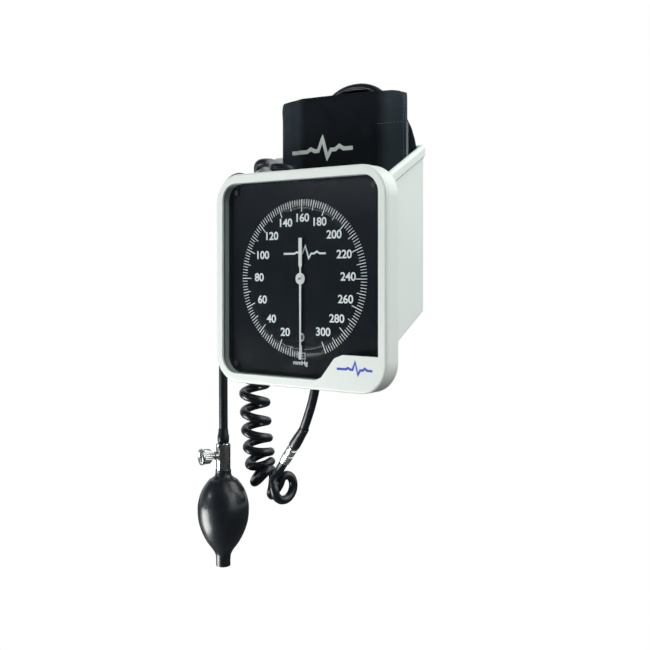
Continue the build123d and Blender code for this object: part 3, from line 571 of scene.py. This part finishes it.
# ---------------------------------------------------------------- squeeze bulb
bulb_shape = smooth_line([(6.9, -173.0), (7.5, -176.1), (10.3, -178.6), (13.6, -181.0),
                          (19.2, -189.5), (22.3, -199.5), (22.85, -207.4), (22.0, -216.5),
                          (19.2, -225.6), (14.7, -234.6), (9.6, -241.6), (7.3, -245.6),
                          (6.55, -249.0), (6.35, -253.5)], 6)
bulb_profile = ([(4.1, -170.6), (6.5, -170.7), (6.95, -171.2), (6.95, -172.2)] + bulb_shape
                + [(6.45, -255.6), (6.2, -256.7), (5.6, -257.0), (4.3, -257.0), (4.2, -256.4)])
bulb = lathe("squeeze_bulb_rubber", bulb_axis_at, (0, 0, 1),
             metres(bulb_profile), bulb_black, "unit", 128)
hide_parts("squeeze_bulb")

# ---------------------------------------------------------------- release valve's knob
KNOB_AZIMUTH = math.radians(243.3)
KNOB_Z = -158.2
knob_way = Vector((math.cos(KNOB_AZIMUTH), math.sin(KNOB_AZIMUTH), 0))
knob_profile = [(2.2, 8.6, 0), (2.6, 8.8, 0), (2.6, 10.6, 0), (3.5, 11.0, 0), (5.0, 11.4, 0),
                (6.1, 12.2, 0.3), (6.5, 13.2, 1), (6.75, 18.3, 1), (6.8, 18.8, 0.3), (7.1, 19.2, 0),
                (7.2, 19.5, 0), (7.2, 21.2, 0), (6.9, 21.6, 0), (5.6, 21.7, 0), (5.3, 21.4, 0)]
knob = fluted("valve_knob_chrome", (BULB_X * MM, BULB_Y * MM, KNOB_Z * MM), knob_way,
              [(r * MM, z * MM, share) for r, z, share in knob_profile], 24, 0.6 * MM,
              knob_chrome, "knob")
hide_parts("valve_knob")


# ---------------------------------------------------------------- dial face and its print
CENTRE_RISE = 0.45 * MM
RING_RISE = 0.30 * MM


def face_rise(radius):
    """How far the dial's pressed relief stands in front of its outer flat, at a radius in mm."""
    def step(start, end):
        share = min(1.0, max(0.0, (radius - start) / (end - start)))
        return share * share * (3 - 2 * share)
    rise = CENTRE_RISE + (RING_RISE - CENTRE_RISE) * step(57.2, 58.7)
    return rise * (1 - step(60.6, 64.9))


def dial_edge(angle, half=82.8, corner=16.7):
    """Distance from the centre to a rounded square's edge, in mm, at an angle."""
    across, up = abs(math.cos(angle)), abs(math.sin(angle))
    flat = half / max(across, up)
    inner = half - corner
    if flat * across <= inner or flat * up <= inner:
        return flat
    along = inner * (across + up)
    return along + math.sqrt(along * along - 2 * inner * inner + corner * corner)


def dial_face():
    segments = 288
    radii = [3.0, 12, 24, 36, 48, 56.5, 57.2, 57.5, 57.8, 58.1, 58.4, 58.7, 59.6, 60.6, 61.1, 61.7,
             62.3, 62.9, 63.5, 64.1, 64.6, 64.9, 66.0]
    verts, faces = [], []
    rows = []
    for radius in radii + [None, None, 3.0]:
        rows.append(len(verts))
        behind = len(rows) > len(radii) + 1
        for step in range(segments):
            angle = 2 * math.pi * step / segments
            reach = dial_edge(angle) if radius is None else radius
            depth = DIAL_Y + 1.0 * MM if behind else DIAL_Y - face_rise(reach)
            verts.append((reach * MM * math.cos(angle), depth, reach * MM * math.sin(angle)))
    for first, second in zip(rows, rows[1:] + rows[:1]):
        for step in range(segments):
            after = (step + 1) % segments
            faces.append([first + step, first + after, second + after, second + step])
    return add_mesh("dial_face_print", verts, faces, dial_ink, "unit")


face_piece = dial_face()
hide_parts("dial_plate")


def face_point(x, z):
    """Point of the printed ink, in metres, for a place on the dial in mm."""
    return (x * MM, DIAL_Y - face_rise(math.hypot(x, z)) - PRINT_LIFT, z * MM)


def ribbon(verts, faces, line, width, place):
    """Adds a flat stroke along a line of 2-D points in mm, with mitred corners."""
    first = len(verts)
    for index, (x, z) in enumerate(line):
        before = line[max(0, index - 1)]
        after = line[min(len(line) - 1, index + 1)]
        run_in = Vector((x - before[0], z - before[1]))
        run_out = Vector((after[0] - x, after[1] - z))
        run_in = run_in if run_in.length > 0 else run_out
        run_out = run_out if run_out.length > 0 else run_in
        way = (run_in.normalized() + run_out.normalized()).normalized()
        across = Vector((-way.y, way.x))
        stretch = min(2.0, 1 / max(0.3, way.dot(run_out.normalized())))
        for side in (-0.5, 0.5):
            spot = Vector((x, z)) + across * width * side * stretch
            verts.append(place(spot.x, spot.y))
    for index in range(len(line) - 1):
        corner = first + 2 * index
        faces.append([corner, corner + 1, corner + 3, corner + 2])


def divided(line, longest):
    made = [line[0]]
    for start, end in zip(line, line[1:]):
        count = max(1, math.ceil(math.dist(start, end) / longest))
        for step in range(1, count + 1):
            share = step / count
            made.append((start[0] + (end[0] - start[0]) * share,
                         start[1] + (end[1] - start[1]) * share))
    return made


def scale_angle(pressure):
    """Angle on the dial of a pressure in mmHg: 0 points down and the scale runs clockwise."""
    return math.radians(-90 - 1.125 * pressure)


def dial_scale():
    verts, faces = [], []
    for pressure in range(0, 301, 2):
        angle = scale_angle(pressure)
        inner, width = 59.4, 0.5
        if pressure % 10 == 0:
            inner, width = 56.6, 0.62
        if pressure % 20 == 0:
            inner, width = 54.8, 0.72
        line = [(radius * math.cos(angle), radius * math.sin(angle)) for radius in (inner, 65.1)]
        ribbon(verts, faces, divided(line, 0.7), width, face_point)
    box = [(-3.4, -60.9), (3.4, -60.9), (3.4, -65.7), (-3.4, -65.7), (-3.4, -60.6)]
    ribbon(verts, faces, divided(box, 1.0), 0.5, face_point)
    return add_mesh("dial_scale_print", verts, faces, ink_white, "unit", False)


dial_scale()


def lettering(name, entries, y_place, bold, wide):
    """Numbers or units in the built-in face: entries are (text, x, z, size) in mm."""
    verts, faces = [], []
    for text, x, z, size in entries:
        curve = bpy.data.curves.new("digits", "FONT")
        curve.body = text
        curve.size = size * MM
        curve.align_x = "CENTER"
        curve.align_y = "CENTER"
        curve.offset = bold * MM
        curve.space_character = 0.98
        holder = bpy.data.objects.new("digits", curve)
        scene.collection.objects.link(holder)
        bpy.context.view_layer.update()
        shape = bpy.data.meshes.new_from_object(holder.evaluated_get(
            bpy.context.evaluated_depsgraph_get()))
        base = len(verts)
        verts += [(v.co.x * wide + x * MM, y_place, v.co.y + z * MM) for v in shape.vertices]
        faces += [[base + index for index in face.vertices] for face in shape.polygons]
        bpy.data.objects.remove(holder)
        bpy.data.meshes.remove(shape)
        bpy.data.curves.remove(curve)
    return add_mesh(name, verts, faces, ink_white, "unit", False)


numbers = []
for pressure in range(0, 301, 20):
    late = max(0.0, (pressure - 220) / 80)
    angle = scale_angle(pressure) + math.radians(4.5) * late
    numbers.append((str(pressure), 0.4 + (46.3 + 1.5 * late) * math.cos(angle),
                    0.6 + 49.0 * math.sin(angle), 9.3))
lettering("dial_numbers_print", numbers, DIAL_Y - CENTRE_RISE - PRINT_LIFT, 0.2, 1.1)
lettering("dial_units_print", [("mmHg", -1.6, -69.2, 5.0)], DIAL_Y - PRINT_LIFT, 0.1, 1.15)

PULSE = [(0, 0), (0.26, 0), (0.32, 0.2), (0.39, 0), (0.45, 0), (0.52, 1.0), (0.60, -0.6),
         (0.66, 0), (0.73, 0), (0.79, 0.26), (0.86, 0), (1, 0)]


def pulse_line(x, z, width, height):
    return [(x + px * width, z + pz * height) for px, pz in PULSE]


def flat_mark(name, line, stroke, material, place):
    verts, faces = [], []
    ribbon(verts, faces, line, stroke, place)
    return add_mesh(name, verts, faces, material, "unit", False)


flat_mark("dial_mark_print", pulse_line(-19, 20.5, 44, 6.2), 1.5, ink_white, face_point)


def bezel_point(x, z):
    return (x * MM, FACE_Y - PRINT_LIFT, z * MM)


flat_mark("bezel_mark_print", pulse_line(42, -70.5, 34, 6.0), 1.9, ink_blue, bezel_point)


# ---------------------------------------------------------------- rolled cuff
CUFF_X = 6.4
CUFF_Y = -15.2
STRAIGHT = 57.2
LAYER = 1.7


def roll_path():
    """Middle line of the rolled sheet seen from above, from the free front edge inwards."""
    outer, inner = 7.4, 5.5
    end_shift = 1.5
    line = [(CUFF_X + 67.6, CUFF_Y - 5.9), (CUFF_X + 62.0, CUFF_Y - 7.2)]
    steps = 30
    for step in range(steps + 1):
        line.append((CUFF_X + 56.0 - 2 * 56.0 * step / steps, CUFF_Y - outer))
    for step in range(1, 10):
        angle = math.radians(-90 - 18 * step)
        line.append((CUFF_X - STRAIGHT + outer * math.cos(angle), CUFF_Y + outer * math.sin(angle)))
    for step in range(steps + 1):
        line.append((CUFF_X - STRAIGHT + 2 * STRAIGHT * step / steps, CUFF_Y + outer))
    for step in range(1, 10):
        angle = math.radians(90 - 18 * step)
        shrink = outer + (inner - outer) * step / 9
        line.append((CUFF_X + STRAIGHT - end_shift + shrink * math.cos(angle),
                     CUFF_Y + shrink * math.sin(angle)))
    for step in range(steps + 1):
        line.append((CUFF_X + 54 - 2 * 54 * step / steps, CUFF_Y - inner))
    for step in range(1, 10):
        angle = math.radians(-90 - 18 * step)
        line.append((CUFF_X - STRAIGHT + end_shift + inner * math.cos(angle),
                     CUFF_Y + inner * math.sin(angle)))
    for step in range(steps + 1):
        line.append((CUFF_X - 54 + 2 * 52 * step / steps, CUFF_Y + inner))
    return line


def cuff_top(x):
    """Height of the roll's top edge, in mm: a little crowned, and lower at the two ends."""
    spots = [(-64, 152.9), (-59, 153.6), (-42, 155.6), (-32, 156.6), (-12, 156.2), (44, 154.8),
             (62, 153.6), (74, 151.0)]
    for (x0, z0), (x1, z1) in zip(spots, spots[1:]):
        if x <= x1:
            break
    return z0 + (z1 - z0) * min(1.0, max(0.0, (x - x0) / (x1 - x0)))


def soft_shell(name, line, bottom, top_of, rows, material):
    """Closed thick sheet that follows a line seen from above, with rounded hems."""
    count = len(line)
    ways = []
    for index in range(count):
        start = Vector(line[max(0, index - 1)])
        end = Vector(line[min(count - 1, index + 1)])
        ways.append((end - start).normalized())
    verts, faces = [], []
    across_points = 2 * (rows + 1) + 2
    end_share, hem_share, hem_bulge = 0.45, 0.55, 0.28
    for index, ((x, y), way) in enumerate(zip(line, ways)):
        normal = Vector((way.y, -way.x))
        top = top_of(x)
        ends = index in (0, count - 1)
        half = LAYER / 2 * (end_share if ends else 1.0)
        column = []
        for row in range(rows + 1):
            share = row / rows
            hem = hem_share if row in (0, rows) else 1.0
            column.append((half * hem, bottom + (top - bottom) * share))
        column.append((0.0, top + LAYER * hem_bulge))
        for row in range(rows, -1, -1):
            share = row / rows
            hem = hem_share if row in (0, rows) else 1.0
            column.append((-half * hem, bottom + (top - bottom) * share))
        column.append((0.0, bottom - LAYER * hem_bulge))
        for out, z in column:
            verts.append((x * MM + normal.x * out * MM, y * MM + normal.y * out * MM, z * MM))
    for index in range(count - 1):
        for step in range(across_points):
            after = (step + 1) % across_points
            faces.append([index * across_points + step, index * across_points + after,
                          (index + 1) * across_points + after, (index + 1) * across_points + step])
    faces.append(list(range(across_points)))
    faces.append(list(range((count - 1) * across_points, count * across_points)))
    return add_mesh(name, verts, faces, material, "unit", sharp_angle=180)


def swell(piece, keep_still, cap_out, cap_in, pressure):
    """Cloth simulation of a padded shell: it puffs and wrinkles, then every move is capped."""
    frames, growth = 20, 0.035
    rest = [v.co.copy() for v in piece.data.vertices]
    normals = [v.normal.copy() for v in piece.data.vertices]
    group = piece.vertex_groups.new(name="held")
    for index, place in enumerate(rest):
        weight = keep_still(place)
        if weight > 0:
            group.add([index], weight, "REPLACE")
    cloth = piece.modifiers.new("cloth", "CLOTH")
    settings = cloth.settings
    settings.quality = 5
    settings.mass = 0.25
    settings.tension_stiffness = 18
    settings.compression_stiffness = 18
    settings.shear_stiffness = 6
    settings.bending_stiffness = 0.4
    settings.shrink_min = -growth
    settings.use_pressure = True
    settings.uniform_pressure_force = pressure
    settings.vertex_group_mass = "held"
    settings.effector_weights.gravity = 0
    cloth.collision_settings.use_collision = False
    cloth.point_cache.frame_start = 1
    cloth.point_cache.frame_end = frames
    for number in range(1, frames + 1):
        scene.frame_set(number)
    moved = piece.evaluated_get(bpy.context.evaluated_depsgraph_get()).data
    places = [v.co.copy() for v in moved.vertices]
    piece.modifiers.remove(cloth)
    piece.vertex_groups.remove(group)
    scene.frame_set(1)
    for vertex, start, normal, place in zip(piece.data.vertices, rest, normals, places):
        shift = place - start
        out = shift.dot(normal)
        along = shift - normal * out
        if along.length > cap_out * 0.5:
            along *= cap_out * 0.5 / along.length
        out = max(-cap_in, min(cap_out, out))
        vertex.co = start + along + normal * out
    piece.data.update()


def smoothed(piece):
    """Bakes one Catmull-Clark subdivision into the mesh."""
    modifier = piece.modifiers.new("subdivision", "SUBSURF")
    modifier.levels = modifier.render_levels = 1
    shape = bpy.data.meshes.new_from_object(piece.evaluated_get(
        bpy.context.evaluated_depsgraph_get()))
    piece.modifiers.clear()
    old = piece.data
    piece.data = shape
    bpy.data.meshes.remove(old)
    for polygon in piece.data.polygons:
        polygon.use_smooth = True


def soft_lines(piece, is_front):
    """Presses the creases of the folded cloth into the roll: x place, width and depth in mm."""
    creases = [(-39.5, 2.6, 0.55), (-33.0, 3.2, -0.5), (51.0, 4.5, 0.35), (60.5, 3.0, -0.45)]
    for vertex in piece.data.vertices:
        if not is_front(vertex.co):
            continue
        x, z = vertex.co.x / MM, vertex.co.z / MM
        move = 0.0
        for place, width, depth in creases:
            drift = place + 1.4 * math.sin(z / 31 + place)
            move += depth * math.exp(-((x - drift) / width) ** 2)
        move -= 1.1 * math.exp(-((x - 8) / 34) ** 2) * math.exp(-((z - 108) / 44) ** 2)
        move += 0.35 * math.sin(x / 13.0 + z / 57) * math.sin(z / 23.0 - x / 71)
        vertex.co.y += move * MM


cuff_roll = soft_shell("cuff_roll", roll_path(), -0.6, cuff_top, 38, cuff_navy)


def hem_held(place):
    """The bound hems at top and bottom and the free front edge hold their shape."""
    x, z = place.x / MM, place.z / MM
    if z < 3 or z > cuff_top(x) - 3:
        return 1.0
    if x > CUFF_X + 63 and place.y / MM < CUFF_Y - 4:
        return 1.0
    return 0.0


swell(cuff_roll, hem_held, 1.2 * MM, 0.1 * MM, 3.0)
smoothed(cuff_roll)
soft_lines(cuff_roll, lambda place: place.y / MM < CUFF_Y - 6.2)
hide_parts("cuff_outer_wrap", "cuff_inner_wrap", "cuff_bladder")


def grid_faces(columns, rows, first=0):
    """Faces of a grid of points stored row by row from index first."""
    corners = [first + row * (columns + 1) + column for row in range(rows) for column in range(columns)]
    return [[c, c + 1, c + columns + 2, c + columns + 1] for c in corners]


def grid_border(columns, rows):
    """Indices of the points round the edge of such a grid, in order."""
    border = ([(0, c) for c in range(columns)] + [(r, columns) for r in range(rows)]
              + [(rows, c) for c in range(columns, 0, -1)] + [(r, 0) for r in range(rows, 0, -1)])
    return [row * (columns + 1) + column for row, column in border]


# The tapered end of the sheet shows at the right of the roll.
TAIL_LEFT = 57.0
TAIL_LOW = 20
TAIL_HIGH = 143.3
tail_edge = [(57, 143.5), (60.4, 141), (65.6, 131.5), (69.6, 124), (72.7, 114.5), (74.6, 106),
             (75.4, 96), (75.5, 60), (75.5, 20)]


def tail_reach(z):
    """How far right the tapered end comes at a height, in mm."""
    for (x0, z0), (x1, z1) in zip(tail_edge, tail_edge[1:]):
        if z >= z1:
            return x0 + (x1 - x0) * min(1.0, (z0 - z) / (z0 - z1))
    return tail_edge[-1][0]


def cuff_tail():
    """Thin tapered flap that leaves the roll's back at its right end."""
    verts = []
    rows, columns = 60, 12
    for side in (-1, 1):
        for row in range(rows + 1):
            z = TAIL_LOW + (TAIL_HIGH - TAIL_LOW) * row / rows
            for column in range(columns + 1):
                share = column / columns
                x = TAIL_LEFT + (tail_reach(z) - TAIL_LEFT) * share
                edge = min(1.0, 4 * (1 - share), 0.35 + 12 * min(row, rows - row) / rows)
                y = -6.95 + 0.12 * math.sin(z / 17) * share
                verts.append((x * MM, (y + side * (0.3 + 0.35 * edge)) * MM, z * MM))
    size = (rows + 1) * (columns + 1)
    faces = grid_faces(columns, rows) + grid_faces(columns, rows, size)
    spots = grid_border(columns, rows)
    for here, there in zip(spots, spots[1:] + spots[:1]):
        faces.append([here, there, there + size, here + size])
    return add_mesh("cuff_tail", verts, faces, cuff_navy, "unit", sharp_angle=180)


# ---------------------------------------------------------------- marks, stitches and binding
cuff_skin = BVHTree.FromObject(cuff_roll, bpy.context.evaluated_depsgraph_get())


def on_cuff(x, z, lift=0.12):
    """Point just in front of the roll's front face, for a place in mm."""
    hit = cuff_skin.ray_cast(Vector((x * MM, -0.06, z * MM)), Vector((0, 1, 0)))[0]
    y = hit.y if hit else (CUFF_Y - 8.3) * MM
    return (x * MM, y - lift * MM, z * MM)


def stitch_row(start, end, length=2.1, gap=1.1):
    verts, faces = [], []
    total = math.dist(start, end)
    way = Vector((end[0] - start[0], end[1] - start[1])).normalized()
    across = Vector((-way.y, way.x))
    reach = 0.0
    while reach + length < total:
        first = len(verts)
        for share in (0.0, 0.25, 0.75, 1.0):
            middle = Vector(start) + way * (reach + length * share)
            rise = 0.05 + 0.22 * math.sin(math.pi * share)
            for side in (-0.28, 0.0, 0.28):
                spot = middle + across * side
                verts.append(on_cuff(spot.x, spot.y, rise + (0.12 if side == 0 else 0)))
        for row in range(3):
            for column in range(2):
                corner = first + row * 3 + column
                faces.append([corner, corner + 1, corner + 4, corner + 3])
        reach += length + gap
    return verts, faces


STITCH_ROWS = [((47, 127.6), (73, 127.2)), ((71.9, 20), (71.9, 148))]


def stitches():
    verts, faces = [], []
    for start, end in STITCH_ROWS:
        more, links = stitch_row(start, end)
        faces += [[len(verts) + index for index in face] for face in links]
        verts += more
    return add_mesh("cuff_stitches", verts, faces, thread_grey, "unit")


stitches()

mark_line = divided(pulse_line(-42.5, 109.5, 66, 10.5), 1.2)
flat_mark("cuff_mark_print", mark_line, 3.4, print_white, on_cuff)


def edge_binding():
    """Folded tape on the free front edge: a bent strip with a raised spine."""
    outline = [(0.0, -4.9), (0.9, -5.3), (1.0, -6.3), (-0.1, -6.9), (-0.5, -6.3), (-0.2, -5.4)]
    line = [(CUFF_X + 67.7 + x, CUFF_Y + y) for x, y in outline]
    rows, low, high = 60, 1.0, 127.0
    verts, faces = [], []
    for row in range(rows + 1):
        z = low + (high - low) * row / rows
        wave = 0.12 * math.sin(z * 0.9)
        for x, y in line:
            verts.append(((x + wave) * MM, y * MM, z * MM))
    count = len(line)
    for row in range(rows):
        for step in range(count):
            after = (step + 1) % count
            faces.append([row * count + step, row * count + after,
                          (row + 1) * count + after, (row + 1) * count + step])
    faces += [list(range(count)), list(range(rows * count, (rows + 1) * count))]
    return add_mesh("cuff_edge_tape", verts, faces, trim_navy, "unit", sharp_angle=80)


edge_tape = edge_binding()
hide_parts("cuff_binding")


def hook_patch():
    """Hook tape sewn on the roll's back: a thin pad with rows of low tufts."""
    left, right, low, high = -36.5, 33.5, 10.0, 142.0
    columns, rows = 70, 132
    back = CUFF_Y + 8.25
    verts = []
    for row in range(rows + 1):
        for column in range(columns + 1):
            x = left + (right - left) * column / columns
            z = low + (high - low) * row / rows
            inside = min(column, columns - column, row, rows - row)
            rise = 0.25 if inside == 0 else 0.75 + (0.3 if (column + row) % 2 else 0.0)
            verts.append((x * MM, (back + rise) * MM, z * MM))
    faces = grid_faces(columns, rows)
    spots = grid_border(columns, rows)
    first = len(verts)
    for spot in spots:
        verts.append((verts[spot][0], (back - 0.1) * MM, verts[spot][2]))
    for index, spot in enumerate(spots):
        after = (index + 1) % len(spots)
        faces.append([spot, spots[after], first + after, first + index])
    faces.append([first + index for index in range(len(spots))])
    return add_mesh("cuff_hook_patch", verts, faces, hook_black, "unit",
                    sharp_angle=60)


hook_piece = hook_patch()
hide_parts("hook_tape")
tail_piece = cuff_tail()


# ---------------------------------------------------------------- floor, world and lights
def pale_floor():
    """Pale floor far below, white to the camera and dim in reflections, as in a studio sweep."""
    size, height = 14.0, -1.25
    mesh = bpy.data.meshes.new("floor")
    mesh.from_pydata([(-size, -size, height), (size, -size, height), (size, size, height),
                      (-size, size, height)], [], [[0, 1, 2, 3]])
    floor = bpy.data.objects.new("floor", mesh)
    scene.collection.objects.link(floor)
    made = Surface("floor_pale", (0.12, 0.12, 0.12), 0.9, specular=0.0)
    made.tint(made.noise(0.6, 2), (0.11, 0.11, 0.11))
    seen = made.node("ShaderNodeEmission")
    path = made.node("ShaderNodeLightPath")
    mix = made.node("ShaderNodeMixShader")
    made.link(path.outputs["Is Camera Ray"], mix.inputs["Fac"])
    made.link(made.shader.outputs["BSDF"], mix.inputs[1])
    made.link(seen.outputs["Emission"], mix.inputs[2])
    made.link(mix.outputs["Shader"], made.tree.nodes["Material Output"].inputs["Surface"])
    mesh.materials.append(made.material)


pale_floor()


def studio_world():
    """Pale surroundings, dark in front and overhead: the window and the hoses mirror that side."""
    world = bpy.data.worlds.new("studio")
    scene.world = world
    world.use_nodes = True
    tree = world.node_tree
    tree.nodes.clear()
    add, link = tree.nodes.new, tree.links.new
    place = add("ShaderNodeTexCoord")
    dot = add("ShaderNodeVectorMath")
    dot.operation = "DOT_PRODUCT"
    dot.inputs[1].default_value = (-0.10, -0.86, 0.50)
    link(place.outputs["Generated"], dot.inputs[0])
    ramp = add("ShaderNodeValToRGB")
    ramp.color_ramp.elements[0].position = 0.05
    ramp.color_ramp.elements[0].color = (1.0, 1.03, 1.03, 1)
    ramp.color_ramp.elements[1].position = 0.42
    ramp.color_ramp.elements[1].color = (0.045, 0.062, 0.082, 1)
    link(dot.outputs["Value"], ramp.inputs["Fac"])
    lit = add("ShaderNodeBackground")
    lit.inputs["Strength"].default_value = 0.75
    link(ramp.outputs["Color"], lit.inputs["Color"])
    seen = add("ShaderNodeBackground")
    seen.inputs["Color"].default_value = (1, 1, 1, 1)
    path = add("ShaderNodeLightPath")
    mix = add("ShaderNodeMixShader")
    link(path.outputs["Is Camera Ray"], mix.inputs["Fac"])
    link(lit.outputs["Background"], mix.inputs[1])
    link(seen.outputs["Background"], mix.inputs[2])
    out = add("ShaderNodeOutputWorld")
    link(mix.outputs["Shader"], out.inputs["Surface"])


studio_world()


def area_light(name, place, target, size, power, glossy=True):
    data = bpy.data.lights.new(name, "AREA")
    data.shape = "RECTANGLE"
    data.size, data.size_y = size
    data.energy = power
    light = bpy.data.objects.new(name, data)
    light.location = place
    light.visible_glossy = glossy
    way = Vector(target) - Vector(place)
    light.rotation_euler = way.to_track_quat("-Z", "Y").to_euler()
    scene.collection.objects.link(light)


area_light("key_left", (-0.88, -0.79, -0.70), (-0.1, -0.05, -0.15), (0.75, 0.75), 21)
area_light("dial_glare", (-0.95, -1.31, 0.43), (0, -0.06, 0.03), (0.42, 0.2), 2.5)
area_light("top_soft", (0.1, -0.5, 1.3), (0, 0, 0), (1.4, 1.1), 9, False)
area_light("right_soft", (1.05, 0.35, 0.9), (0, 0, -0.05), (2.0, 1.6), 18)
area_light("front_soft", (0.95, -1.6, 0.55), (0, -0.06, 0), (2.2, 1.6), 6.5, False)
